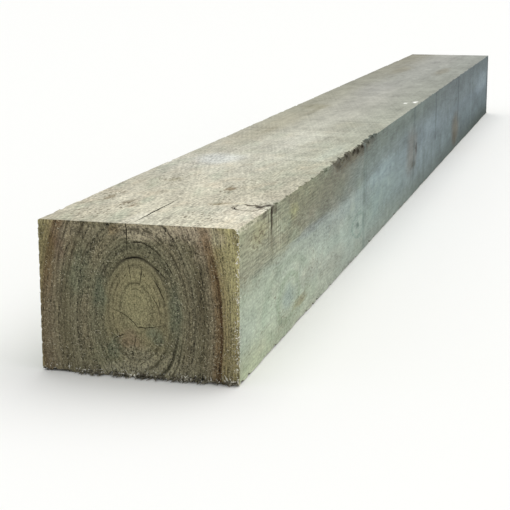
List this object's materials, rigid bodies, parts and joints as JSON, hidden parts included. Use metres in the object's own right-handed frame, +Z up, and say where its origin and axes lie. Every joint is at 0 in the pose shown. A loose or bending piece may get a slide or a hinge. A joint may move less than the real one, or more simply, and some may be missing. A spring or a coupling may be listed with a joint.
{
  "type": "railway sleeper",
  "caption": "Rough-sawn, pressure-treated timber railway sleeper: a solid rectangular beam that lies on its bed, for track, edging or retaining walls.",
  "frame": {"origin": "centre of the bed, the bottom face that the sleeper lies on", "axes": "+X along the grain, with the pith end shown at -X; +Z up from the bed to the top; +Y across the width"},
  "size_m": [2.4, 0.2, 0.15],
  "materials": {
    "sawn_timber": "rough sawn, matte, weathered"
  },
  "bodies": {
    "root": {"sleeper": "sawn_timber"}
  },
  "joints": []
}
